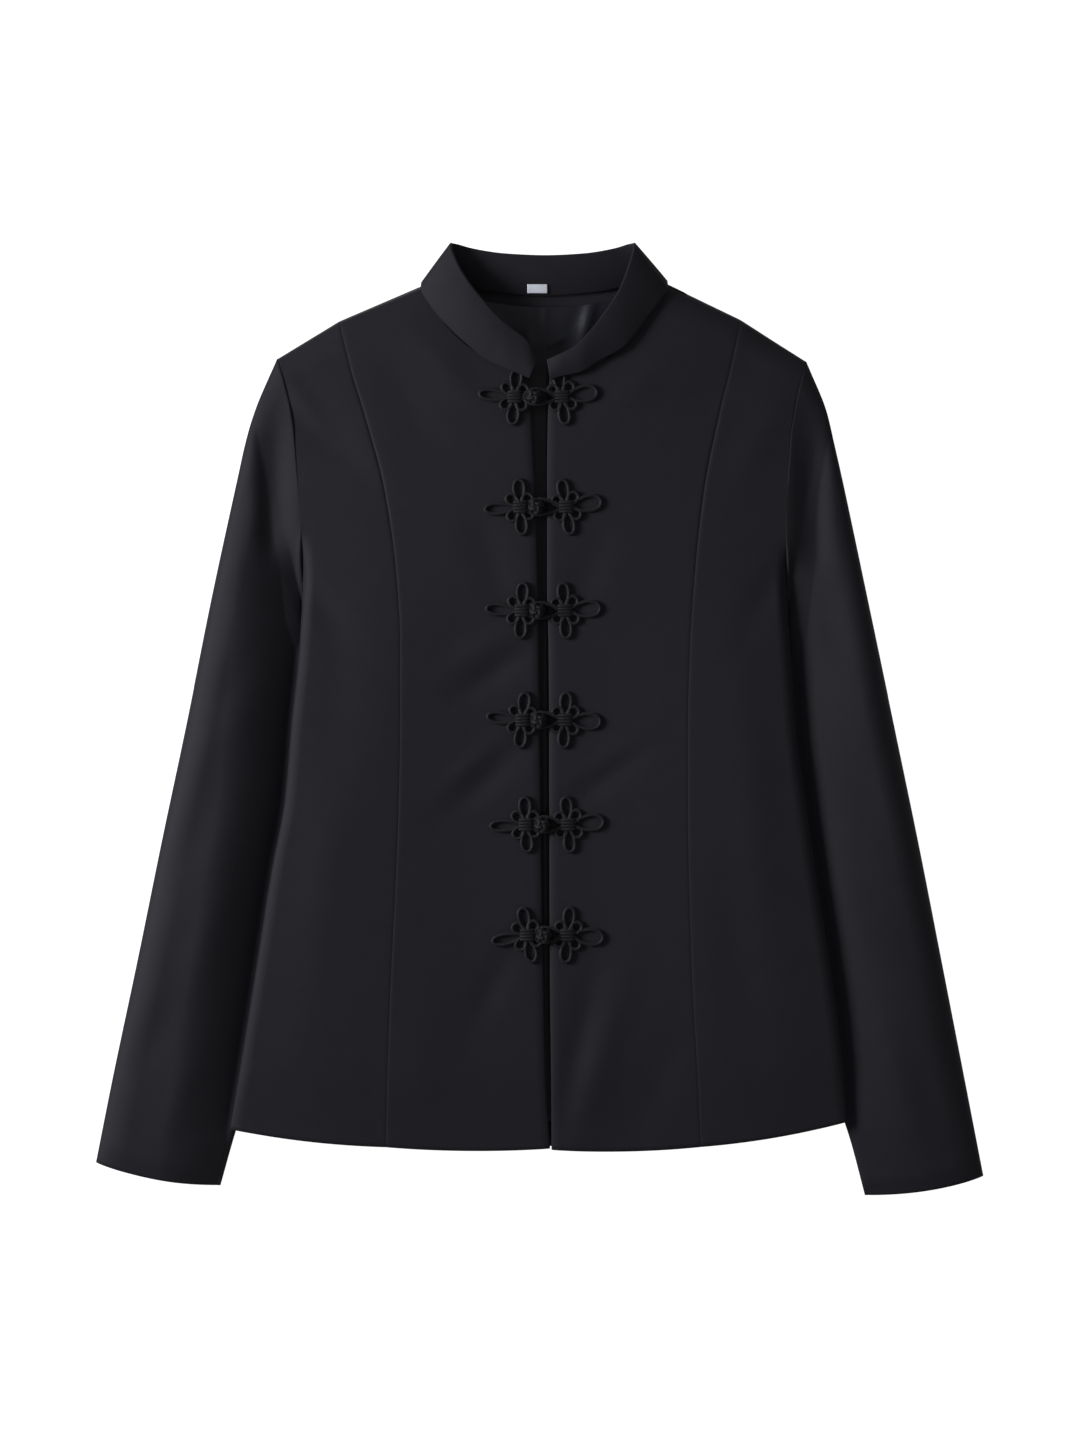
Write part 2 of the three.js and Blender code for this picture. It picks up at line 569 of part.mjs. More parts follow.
// ---- collar, lining and label ---------------------------------------------------------------------
function makeCollar() {
  const keys = COLLAR.map((_, i) => i / (COLLAR.length - 1));
  const track = (name) => {
    const axes = [0, 1, 2].map((axis) => through(keys, COLLAR.map((row) => row[name][axis])));
    return (t) => new THREE.Vector3(...axes.map((curve) => curve(t)));
  };
  const foot = track('foot');
  const top = track('top');
  const place = (u, v) => {
    const bulge = new THREE.Vector3(0, 0, COLLAR_BULGE * 4 * v * (1 - v));
    return foot(u).lerp(top(u), v).add(bulge);
  };
  const steps = (COLLAR.length - 1) * 2;
  const us = Array.from({ length: steps + 1 }, (_, i) => i / steps);
  add('collar', wall(us, [0, 0.5, 1], place, COLLAR_WALL, -1), MATERIALS.suiting);
}

function makeLining() {
  const place = (u, v) => {
    const half = mix(LINING_HEM_HALF, LINING_NECK_HALF, smooth((v - 0.8) / 0.2));
    const neckDip = LINING_NECK_DIP * 4 * u * (1 - u) * smooth((v - 0.9) / 0.1);
    const y = mix(LINING_HEM_Y, LINING_NECK_Y, v) - neckDip;
    return new THREE.Vector3(mix(-half, half, u) + LINING_MIDDLE_X, y, CLOTH + LAY_GAP + LINING);
  };
  const us = [0, 0.25, 0.5, 0.75, 1];
  const vs = [0, 0.25, 0.5, 0.75, 0.9, 1];
  add('back_lining', wall(us, vs, place, LINING, 1), MATERIALS.lining);
}

function makeLabel() {
  const geometry = new THREE.BoxGeometry(LABEL.width, LABEL.height, LABEL.thick);
  geometry.rotateX(LABEL.tilt);
  geometry.translate(...LABEL.at);
  add('label', geometry, MATERIALS.label);
}

// ---- frogs and knots ------------------------------------------------------------------------------
// Reach of a flower at an angle in degrees: the furthest petal there, at least the wrapped middle.
function petalReach(angle) {
  const reaches = PETALS.map((petal) => {
    const off = Math.abs(((angle - petal.angle + 540) % 360) - 180);
    return petal.reach * (1 - (off / petal.spread) ** 2);
  });
  return Math.max(FLOWER_MIDDLE, ...reaches);
}

// Where a ray at an angle from the flower meets a circle round the knot, near side or far side.
function circleReach(angle, distance, radius, far) {
  const along = -distance * Math.cos(THREE.MathUtils.degToRad(angle));
  const rest = along ** 2 - distance ** 2 + radius ** 2;
  if (along < 0 || rest < 0) return far ? 0 : Infinity;
  return along + (far ? 1 : -1) * Math.sqrt(rest);
}

// A flower of cord, long petal outward (+x). The loop half goes on round the knot as a ring.
function flowerShape(distance, isLoop) {
  const angles = Array.from({ length: 30 }, (_, i) => i * 12).filter((a) => a < 150 || a > 210);
  angles.push(...[152, 158, 164, 170, 176, 184, 190, 196, 202, 208]);
  angles.sort((a, b) => a - b);
  const outline = angles.map((angle) => {
    const reach = isLoop
      ? Math.max(petalReach(angle), circleReach(angle, distance, RING_OUTSIDE, true))
      : Math.min(petalReach(angle), circleReach(angle, distance, RING_OUTSIDE + KNOT_CLEAR, false));
    const turn = THREE.MathUtils.degToRad(angle);
    return new THREE.Vector2(reach * Math.cos(turn), reach * Math.sin(turn));
  });
  const shape = new THREE.Shape(outline);
  shape.holes.push(ovalHole(PETAL_HOLE.x, PETAL_HOLE.along, PETAL_HOLE.across, 6));
  if (isLoop) shape.holes.push(ovalHole(-distance, RING_INSIDE, RING_INSIDE, 10));
  return shape;
}

function ovalHole(x, along, across, count) {
  const points = Array.from({ length: count }, (_, i) => {
    const turn = (-2 * Math.PI * i) / count;
    return new THREE.Vector2(x + along * Math.cos(turn), across * Math.sin(turn));
  });
  return new THREE.Path(points);
}

function makeFrog(body, row, number) {
  const isLoop = body.part === RIGHT;
  const centre = Math.abs(isLoop ? row.right : row.left);
  const knot = body.part.sign * row.knot;
  const shape = flowerShape(centre - knot, isLoop);
  const geometry = new THREE.ExtrudeGeometry(shape, { depth: CORD, bevelEnabled: false, steps: 1 });
  geometry.scale(body.part.sign, 1, 1);
  geometry.translate(body.part.sign * centre, row.y, LAY_GAP);
  const spots = geometry.getAttribute('position');
  for (let i = 0; i < spots.count; i += 1) {
    spots.setZ(i, spots.getZ(i) + panelTop(body, Math.abs(spots.getX(i)), spots.getY(i)));
  }
  const faces = [...Array(spots.count).keys()];
  add(`frog_${body.part.name}_${number}`, facingOut([...spots.array], faces), MATERIALS.cord);
}

// Height of the front under something laid on it near its edge.
function panelTop(body, x, y) {
  const level = acrossAt(body.part.body.map((row) => ({ at: [row.level, row.edge[1]] })), 'at')(y);
  return frontZ(body, x, y, level, 1e3, 1e3);
}

function makeKnot(body, row, number) {
  const geometry = new THREE.IcosahedronGeometry(KNOT_RADIUS, 1);
  const z = panelTop(body, 0, row.y) + LAY_GAP + KNOT_RADIUS;
  geometry.translate(row.knot, row.y, z);
  add(`knot_button_${number}`, geometry, MATERIALS.cord);
}

// ---- the jacket -----------------------------------------------------------------------------------
const left = bodyOf(LEFT);
const right = bodyOf(RIGHT);
const back = backPlace(left, right);
makeBack(back);
makeLining();
makeLabel();
for (const body of [left, right]) {
  makeFronts(body);
  makeSleeves(body, back);
}
makeCollar();
FROGS.forEach((row, i) => {
  makeFrog(left, row, i + 1);
  makeFrog(right, row, i + 1);
  makeKnot(left, row, i + 1);
});

// The origin is under the middle of the whole jacket.
const extent = new THREE.Box3().setFromObject(jacket);
const middle = extent.getCenter(new THREE.Vector3());
jacket.position.set(-middle.x, -middle.y, -extent.min.z);

export default jacket;
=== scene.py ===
"""Tang jacket laid flat: fine cloth, cord frogs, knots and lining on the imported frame, light, camera."""
import math

import bpy
import numpy as np
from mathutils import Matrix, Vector


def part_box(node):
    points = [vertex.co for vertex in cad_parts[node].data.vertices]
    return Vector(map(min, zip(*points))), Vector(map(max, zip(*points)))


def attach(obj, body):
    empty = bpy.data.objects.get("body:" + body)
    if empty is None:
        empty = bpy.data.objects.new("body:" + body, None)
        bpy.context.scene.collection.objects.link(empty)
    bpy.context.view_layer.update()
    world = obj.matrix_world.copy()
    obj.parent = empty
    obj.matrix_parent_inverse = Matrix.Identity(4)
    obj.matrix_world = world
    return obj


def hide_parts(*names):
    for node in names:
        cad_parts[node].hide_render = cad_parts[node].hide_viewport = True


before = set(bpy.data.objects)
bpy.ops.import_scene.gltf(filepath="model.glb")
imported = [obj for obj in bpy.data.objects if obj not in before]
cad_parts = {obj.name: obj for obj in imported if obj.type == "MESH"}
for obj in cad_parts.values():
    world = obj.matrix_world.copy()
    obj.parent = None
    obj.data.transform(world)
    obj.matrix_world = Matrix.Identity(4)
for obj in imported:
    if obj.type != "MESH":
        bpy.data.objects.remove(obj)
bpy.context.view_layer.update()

MM = 0.001
BODY = "root"

# ---- driving sizes, in millimetres, as the frame's own pieces have them --------------------------
CLOTH = 1.6
LINING = 1.0
UNDERARM = 0.6
SIDE_ROLL = 9
SHOULDER_ROLL = 20
EDGE_ROLL = 7
SHOULDER_FOLD_Z = 6.5
UNDER_RAISE = 10.2
SLEEVE_LOW = 7.4
SLEEVE_ROLL = 14
SLEEVE_INNER_ROLL = 5
FOREARM_SEAM = 0.0245
HINDARM_SEAM = 1 + (1 - 0.905)
ARMHOLE_Z = 16.5
HEM_SAG = 2.4
SEAM_GAP = 0.3
UNDERARM_EASE = 1.9
UNDERARM_TUCK = 3.1
BACK_SAG = 17
CUFF_SAG = 3.4
CORD = 2.4
KNOT_RADIUS = 5.4
LABEL_AT = (-2, 322, 8.4)

# level, front edge then neck seam, princess seam, side fold then armhole: x outward and y of each
BODY_LEFT = [
    (0, -7.5, -320, 115, -318.6, 231, -305),
    (0.07, -3.9, -262, 113.5, -261, 223, -257),
    (0.15, -2.8, -207, 111.5, -205, 214, -202),
    (0.28, -1.2, -113, 107, -113, 200, -113),
    (0.36, -0.5, -59, 105, -59, 190, -59),
    (0.44, 0.3, -3, 104, -3, 185, -3),
    (0.53, 1, 58, 104, 58, 179, 58),
    (0.6, 1.8, 106, 106.6, 106, 177, 106),
    (0.738, 4.4, 185, 115.5, 170, 179.3, 161),
    (0.862, 10, 255.5, 131, 229, 182.8, 214),
    (0.918, 48.4, 274.6, 140, 258, 186, 236),
    (0.962, 73.9, 299, 145.5, 279.8, 190.5, 254.5),
    (1, 87, 325, 150, 298, 196, 270),
]
BODY_RIGHT = [
    (0, 8.6, -321, 120, -318.4, 229, -299.5),
    (0.07, 8.2, -258, 117, -257, 225, -253),
    (0.15, 7.5, -204, 113.7, -203, 218.4, -200),
    (0.28, 6.95, -114, 110.8, -114, 205.2, -114),
    (0.36, 6.85, -61, 110, -61, 197.6, -61),
    (0.44, 6.75, -8, 110, -8, 190.7, -8),
    (0.53, 6.3, 52, 111.5, 52, 186.4, 52),
    (0.6, 5.2, 100, 114.5, 100, 184, 98),
    (0.738, 5.2, 180.6, 121.8, 168.7, 184, 156.7),
    (0.862, 7, 253, 134, 230, 186.2, 209.4),
    (0.918, 52, 270.7, 141, 258, 189.3, 233),
    (0.962, 78.8, 298.2, 146, 280, 193.6, 252),
    (1, 93, 326.5, 150, 299, 198.5, 268),
]
# level, inner fold, outer fold
SLEEVE_LEFT = [
    (0, 179.2, 106, 196, 270),
    (0.06, 178.6, 78.8, 211.5, 234),
    (0.1, 176.4, 60.6, 218.8, 210),
    (0.15, 172, 38, 225.5, 180),
    (0.3, 164, -30, 245, 90),
    (0.45, 171.5, -98, 263, 0),
    (0.6, 184.5, -166, 282, -90),
    (0.75, 201.4, -234.5, 300.4, -180),
    (0.9, 226, -302.6, 319.5, -270),
    (1, 239, -348, 331.5, -330),
]
SLEEVE_RIGHT = [
    (0, 186.2, 98, 198.5, 268),
    (0.06, 185.6, 70.8, 213.5, 231.5),
    (0.1, 183.4, 52.7, 219.2, 207.2),
    (0.15, 179, 30, 226, 176.8),
    (0.3, 171, -38, 245.3, 85.6),
    (0.45, 178.1, -106, 264.4, -5.6),
    (0.6, 190.5, -174, 283.3, -96.8),
    (0.75, 205.7, -242, 301.2, -188),
    (0.9, 230.8, -310, 319.1, -279.2),
    (1, 243, -355.4, 331, -340),
]
# level: middle of the front, its side, the side fold
BODY_HEIGHTS = [
    (0, 12.5, 17.5, 13), (0.15, 14, 20.5, 15.5), (0.4, 15, 21, 15.5), (0.53, 16, 20.5, 14.5),
    (0.6, 17, 19, 9), (0.74, 17, 18, 9), (0.862, 16, 16.5, 8), (1, 14, 13.5, SHOULDER_FOLD_Z),
]
# level: crown, outer fold, inner fold
SLEEVE_HEIGHTS = [
    (0, 18, 6.5, 9), (0.06, 20, 9.5, 3.7), (0.15, 23, 11, 3.7),
    (0.4, 27, 12, 3.7), (0.75, 25, 11.5, 3.7), (1, 19, 9.5, 5),
]
# foot x, y, z and top x, y, z, from the left front end round the back to the right front end
COLLAR = [
    (-8, 254, 20.8, -2.5, 266, 21), (-15, 257, 20.9, -9, 281.5, 23.5), (-26, 261.5, 20.9, -20, 290.5, 25),
    (-40, 268, 20, -31, 299.5, 26.5), (-54, 279, 20, -43, 313, 27.5), (-69, 293, 19, -52.5, 325, 28),
    (-83, 310, 17.5, -60.5, 338, 27.5), (-89, 321, 14.5, -66, 351.5, 25),
    (-88.5, 327, 10.5, -66.5, 355, 20.5),
    (-83, 329, 6.5, -62, 354.5, 16), (-62, 325, 4, -50, 351.5, 14), (-30, 320, 3.6, -26, 347.8, 14),
    (3, 318, 3.6, 4, 346.5, 14), (36, 320, 3.6, 32, 347.8, 14), (68, 325.5, 4, 55, 351.5, 14),
    (89, 330, 6.5, 66, 354.5, 16), (95, 328, 10.5, 70.5, 355, 20.5), (95.5, 322, 14.5, 70, 351.5, 25),
    (90, 313, 17.5, 66, 338, 27.5), (78, 297, 19, 60, 322, 28), (62, 277, 20, 51, 307, 27.5),
    (45, 267.5, 20, 38, 290, 26.5), (30, 258.5, 20.9, 26, 278, 25), (16, 255.5, 20.9, 13.5, 271.5, 23.5),
    (7.5, 253, 20.8, 5, 268, 21),
]
# height, knot, left flower, right flower, and how far each flower is turned, in degrees
FROGS = [
    (240.5, -4.7, -18.8, 16.2, 5, 8), (158.5, -3.1, -14.6, 19.4, -4, 9), (81.5, -2.2, -13.6, 18.4, 3, 4),
    (0, -1.1, -13, 18.6, 6, -3), (-77.8, 1.5, -10.4, 20.9, -3, 5), (-160, 2.8, -9.4, 20.6, -11, -5),
]


# middle x, y, direction in degrees, length, width and height of each soft fold: below 0 is a trough
FRONT_FOLDS = [
    (-160, 214, -38, 80, 30, -1.8), (-176, 236, -50, 60, 18, 1.1), (-128, 196, -30, 60, 26, 0.9),
    (-70, 262, -48, 70, 26, 1.1), (-96, 232, -60, 70, 30, -0.9), (150, 262, 38, 90, 30, -1.2),
    (166, 214, 62, 80, 28, 1), (72, 248, 40, 70, 26, 0.9), (-36, 34, 34, 60, 18, -1.4),
    (-44, 52, 30, 70, 20, 0.9), (-40, -44, 42, 70, 20, -1.3), (-52, -34, 40, 60, 16, 0.8),
    (48, -42, 38, 66, 20, -1.5), (56, -28, 36, 60, 18, 0.9), (46, -250, 74, 120, 26, 1.5),
    (28, -246, 78, 110, 20, -1.4), (84, -276, 66, 90, 34, -1), (-34, -196, 60, 70, 22, -1),
    (-90, -258, 80, 110, 44, 0.9), (-160, -120, 84, 170, 36, 0.8), (158, -60, 96, 180, 34, 0.9),
    (150, -190, 98, 140, 34, -0.9), (-150, 20, 88, 150, 34, -0.8), (36, 110, 70, 70, 26, -0.8),
    (-36, 118, 108, 70, 24, -0.8), (170, 96, 60, 70, 22, -1.1), (-164, 88, 120, 70, 22, -1),
]
SLEEVE_FOLDS = [
    (-222, 150, 74, 90, 24, -1.6), (-236, 112, 70, 80, 22, 1.2), (-232, 20, 62, 70, 26, -1.3),
    (-252, -18, 66, 80, 26, 1), (-262, -96, 64, 90, 28, -1.1), (-250, -170, 72, 110, 24, 1),
    (-286, -236, 60, 80, 28, -1.1), (-270, -286, 70, 90, 24, 0.9), (214, 168, 104, 90, 22, -2),
    (228, 128, 106, 90, 24, 1.3), (222, 62, 112, 80, 24, -1.5), (240, 24, 108, 90, 26, 1.1),
    (244, -60, 112, 90, 26, -1.2), (232, -130, 104, 120, 22, 1.1), (276, -170, 112, 90, 28, -1.1),
    (262, -250, 104, 110, 24, 1), (292, -292, 116, 70, 26, -1),
]
LINING_FOLDS = [
    (-34, 302, -44, 34, 9, 1.6), (-22, 292, -52, 40, 9, -0.8), (36, 300, 76, 40, 9, 1.6),
    (24, 296, 70, 40, 10, -0.8),
    (12, 284, 20, 30, 8, 1.2), (-8, 296, 86, 50, 8, 0.8),
]


# ---- helpers -------------------------------------------------------------------------------------
def mix(a, b, t):
    return a + (b - a) * t


def clamp(t):
    return np.clip(t, 0, 1)


def smooth(t):
    t = clamp(t)
    return t * t * (3 - 2 * t)


def roll(distance, reach):
    return np.sqrt(1 - (1 - clamp(distance / reach)) ** 2)


def through(keys, values):
    """A smooth curve through table values that never overshoots them."""
    keys, values = np.asarray(keys, float), np.asarray(values, float)
    slope = np.diff(values) / np.diff(keys)
    tangent = np.zeros(len(keys))
    tangent[0], tangent[-1] = slope[0], slope[-1]
    product = slope[:-1] * slope[1:]
    total = np.where(product > 0, slope[:-1] + slope[1:], 1)
    tangent[1:-1] = np.where(product > 0, 2 * product / total, 0)

    def curve(key):
        key = np.asarray(key, float)
        i = np.clip(np.searchsorted(keys, key, side="right") - 1, 0, len(keys) - 2)
        width = keys[i + 1] - keys[i]
        t = clamp((key - keys[i]) / width)
        rise = t * t * (3 - 2 * t)
        bend = t * (1 - t) ** 2 * tangent[i] - t * t * (1 - t) * tangent[i + 1]
        return mix(values[i], values[i + 1], rise) + width * bend

    return curve


def column(rows, k):
    return through([row[0] for row in rows], [row[k] for row in rows])


def across_at(rows, k):
    """Column k, an x, as a curve of column k + 1, its y."""
    pairs = sorted((row[k + 1], row[k]) for row in rows)
    return through([y for y, _ in pairs], [x for _, x in pairs])


def shift():
    """Where the frame's origin puts the tables' zero: found from the label's own box."""
    low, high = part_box("label")
    return [(low[k] + high[k]) / 2 - LABEL_AT[k] * MM for k in range(3)]


SHIFT = shift()


# ---- meshes --------------------------------------------------------------------------------------
def new_piece(name, points, faces, material, nodes):
    """A smooth-shaded mesh in metres from points in millimetres, riding on the body in place of CAD nodes."""
    mesh = bpy.data.meshes.new(name)
    points = np.asarray(points, float) * MM + np.asarray(SHIFT)
    mesh.from_pydata(points.tolist(), [], faces)
    mesh.polygons.foreach_set("use_smooth", [True] * len(mesh.polygons))
    mesh.materials.append(material)
    mesh.update()
    piece = bpy.data.objects.new(name, mesh)
    bpy.context.scene.collection.objects.link(piece)
    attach(piece, BODY)
    if nodes:
        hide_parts(*nodes)
    return piece


def grid_normals(surface, us, vs):
    step = 1e-5
    along_u = surface(us + step, vs) - surface(us - step, vs)
    along_v = surface(us, vs + step) - surface(us, vs - step)
    normal = np.cross(along_u, along_v)
    return normal / np.maximum(np.linalg.norm(normal, axis=-1, keepdims=True), 1e-12)


def wall(surface, us, vs, thickness, side):
    """Points and faces of a cloth wall: surface(u, v) is its outer face, and a band of faces closes the rim
    between the outer and inner faces.
    """
    u, v = np.meshgrid(us, vs)
    outer = surface(u, v)
    normal = grid_normals(surface, u, v) * side
    inner = outer - normal * thickness
    rows, columns = u.shape
    points = np.concatenate([outer.reshape(-1, 3), inner.reshape(-1, 3)])
    half = rows * columns
    index = np.arange(half).reshape(rows, columns)
    a, b = index[:-1, :-1].ravel(), index[:-1, 1:].ravel()
    c, d = index[1:, 1:].ravel(), index[1:, :-1].ravel()
    outward = np.stack([a, b, c, d], axis=1)
    if side < 0:
        outward = outward[:, ::-1]
    inward = outward[:, ::-1] + half
    rim = np.concatenate([index[0], index[1:, -1], index[-1, -2::-1], index[-2:0:-1, 0]])
    following = np.roll(rim, -1)
    band = np.stack([following, rim, rim + half, following + half], axis=1)
    if side < 0:
        band = band[:, ::-1]
    faces = np.concatenate([outward, inward, band])
    return points, faces.tolist()


# ---- the body's surfaces -------------------------------------------------------------------------
MIDDLE_Z, SIDE_Z, FOLD_Z = (column(BODY_HEIGHTS, k) for k in (1, 2, 3))
CROWN_Z, OUTER_Z, INNER_Z = (column(SLEEVE_HEIGHTS, k) for k in (1, 2, 3))


class Half:
    """One half of the jacket: its curves as functions of level, and of y."""

    def __init__(self, name, sign, body, sleeve):
        self.name, self.sign, self.body, self.sleeve = name, sign, body, sleeve
        self.edge = (column(body, 1), column(body, 2))
        self.seam = (column(body, 3), column(body, 4))
        self.side = (column(body, 5), column(body, 6))
        self.inner = (column(sleeve, 1), column(sleeve, 2))
        self.outer = (column(sleeve, 3), column(sleeve, 4))
        self.inner_x = across_at(sleeve, 1)
        self.outer_x = across_at(sleeve, 3)
        self.body_x = across_at([row for row in body if row[0] <= UNDERARM], 5)
        self.armhole_x = across_at([row for row in body if row[0] >= UNDERARM], 5)
        self.level_at = through([row[2] for row in body[:10]], [row[0] for row in body[:10]])
        last = body[-1]
        self.shoulder = ((last[1], last[2]), (last[3], last[4]), (last[5], last[6]))

    def shoulder_y(self, x):
        (x0, y0), (x1, y1), (x2, y2) = self.shoulder
        return np.where(x < x1, mix(y0, y1, (x - x0) / (x1 - x0)), mix(y1, y2, (x - x1) / (x2 - x1)))


LEFT = Half("left", -1, BODY_LEFT, SLEEVE_LEFT)
RIGHT = Half("right", 1, BODY_RIGHT, SLEEVE_RIGHT)


def side_closing(level):
    return 1 - smooth((level - UNDERARM) / 0.09)


def shoulder_distance(half, x, y, level):
    return np.where(level > 0.8, (half.shoulder_y(x) - y) * 0.9, 1e3)


def front_z(half, x, y, level, from_side, from_edge):
    across = smooth((x / half.side[0](level) - 0.15) / 0.7)
    hem = 2 * (1 - smooth(level * 14))
    turned = 1.6 * (1 - roll(from_edge, EDGE_ROLL))
    top = mix(MIDDLE_Z(level), SIDE_Z(level), across) - hem - turned
    fold = FOLD_Z(level)
    near_side = 1 - side_closing(level) * (1 - roll(from_side, SIDE_ROLL))
    return fold + (top - fold) * near_side * roll(shoulder_distance(half, x, y, level), SHOULDER_ROLL)


def back_z(half, x, y, level, from_side):
    fold = FOLD_Z(level)
    tuck = np.maximum(0, half.side[0](level) - half.inner_x(y))
    raised = UNDER_RAISE * smooth((UNDERARM + 0.02 - level) / 0.06)
    base = raised * (1 - smooth((from_side - tuck - 7) / 34))
    near_side = 1 - side_closing(level) * (1 - roll(from_side, SIDE_ROLL - 2))
    return fold + (base - fold) * near_side * roll(shoulder_distance(half, x, y, level), SHOULDER_ROLL * 0.7)


def seam_groove(from_seam, level):
    """The princess seam: a shallow crease, plainest over the chest."""
    depth = 0.22 + 0.3 * np.exp(-(((level - 0.78) / 0.16) ** 2))
    return -depth * np.exp(-((from_seam / 0.9) ** 2))


def front_surface(half, start, end):
    def surface(u, v):
        x = mix(start[0](v), end[0](v), u)
        sag = HEM_SAG * 4 * u * (1 - u) * (1 - smooth(v / 0.1))
        y = mix(start[1](v), end[1](v), u) - sag
        from_edge = np.where(v < 0.86, x - half.edge[0](v), 1e3)
        z = front_z(half, x, y, v, half.side[0](v) - x, from_edge)
        groove = seam_groove(x - half.seam[0](v), v)
        return np.stack([half.sign * x, y, z + groove + front_relief(half.sign * x, y)], axis=-1)

    return surface


def soft_folds(table, x, y):
    """Sum of the listed soft troughs and ridges, each an elongated swelling or dent."""
    total = 0 * x
    for at_x, at_y, direction, length, width, height in table:
        turn = math.radians(direction)
        along = (x - at_x) * math.cos(turn) + (y - at_y) * math.sin(turn)
        across = (y - at_y) * math.cos(turn) - (x - at_x) * math.sin(turn)
        total = total + height * np.exp(-((2 * along / length) ** 2) - (2 * across / width) ** 2)
    return total


def front_relief(x, y):
    return soft_folds(FRONT_FOLDS, x, y)


def cosine_spread(count):
    return (1 - np.cos(np.pi * np.linspace(0, 1, count))) / 2


def edge_spread(count):
    """Even steps that close up near 1."""
    return 1 - (1 - np.linspace(0, 1, count)) ** 1.7


def make_fronts(half, cloth):
    levels = np.linspace(0, 1, 250)
    centre = front_surface(half, half.edge, half.seam)
    beside_seam = np.array([0, 0.0028, 0.006, 0.01, 0.015])
    columns = np.concatenate([(1 - edge_spread(60)[::-1])[:-1], 1 - beside_seam[::-1]])
    points, faces = wall(centre, columns, levels, CLOTH, half.sign)
    name = f"front_centre_{half.name}"
    piece = new_piece(f"{name}_cloth", points, faces, cloth, [name])
    side = front_surface(half, half.seam, half.side)
    columns = np.concatenate([beside_seam, edge_spread(60)[1:]])
    points, faces = wall(side, columns, levels, CLOTH, half.sign)
    name = f"front_side_{half.name}"
    piece = new_piece(f"{name}_cloth", points, faces, cloth, [name])


def back_surface():
    neck_left, neck_right = LEFT.body[-1], RIGHT.body[-1]
    tops = [
        (-neck_left[5], neck_left[6]), (-neck_left[3], neck_left[4]), (-neck_left[1], neck_left[2]), (3, 317),
        (neck_right[1], neck_right[2]), (neck_right[3], neck_right[4]), (neck_right[5], neck_right[6]),
    ]
    stations = [0, 0.11, 0.27, 0.5, 0.73, 0.89, 1]
    top_x = through(stations, [p[0] for p in tops])

    def top_y(t):
        return np.interp(t, stations, [p[1] for p in tops])

    def surface(u, v):
        lift = smooth((v - UNDERARM) / (1 - UNDERARM))
        chord_x = mix(tops[0][0], tops[6][0], u)
        x = mix(-LEFT.side[0](v), RIGHT.side[0](v), u) + lift * (top_x(u) - chord_x)
        chord_y = mix(tops[0][1], tops[6][1], u)
        sag = BACK_SAG * 4 * u * (1 - u) * (1 - smooth(v / UNDERARM))
        y = mix(LEFT.side[1](v), RIGHT.side[1](v), u) + lift * (top_y(u) - chord_y) - sag
        y = y + 4 * smooth((v - 0.9) / 0.1) * (1 - smooth((np.abs(x) - 60) / 20))
        outward = np.abs(x)
        z = np.where(
            u < 0.5,
            back_z(LEFT, outward, y, v, LEFT.side[0](v) - outward),
            back_z(RIGHT, outward, y, v, RIGHT.side[0](v) - outward),
        )
        return np.stack([x, y, z], axis=-1)

    return surface


def make_back(cloth):
    spread = np.linspace(0, 1, 15)[:-1] ** 1.8 * 0.07
    us = np.concatenate([spread, np.linspace(0.07, 0.93, 120), 1 - spread[::-1]])
    points, faces = wall(back_surface(), us, np.linspace(0, 1, 160), CLOTH, -1)
    piece = new_piece("back_cloth", points, faces, cloth, ["back"])


# ---- sleeves -------------------------------------------------------------------------------------
def cap_fold(from_seam, above):
    ridge = 1.5 * np.exp(-(((from_seam - 8) / 5) ** 2))
    valley = 5 * np.exp(-(((from_seam - 21) / 8) ** 2))
    return smooth(above / 40) * (ridge - valley)


def armhole_gap(u):
    """Space between body and sleeve in the frame's own pieces, widest at the underarm."""
    return SEAM_GAP + UNDERARM_EASE * (1 - smooth(u / 0.5))


def underarm_tuck(u):
    """How far the fine sleeve reaches into that space, so that no light comes through."""
    return UNDERARM_TUCK * (1 - smooth(u / 0.6))


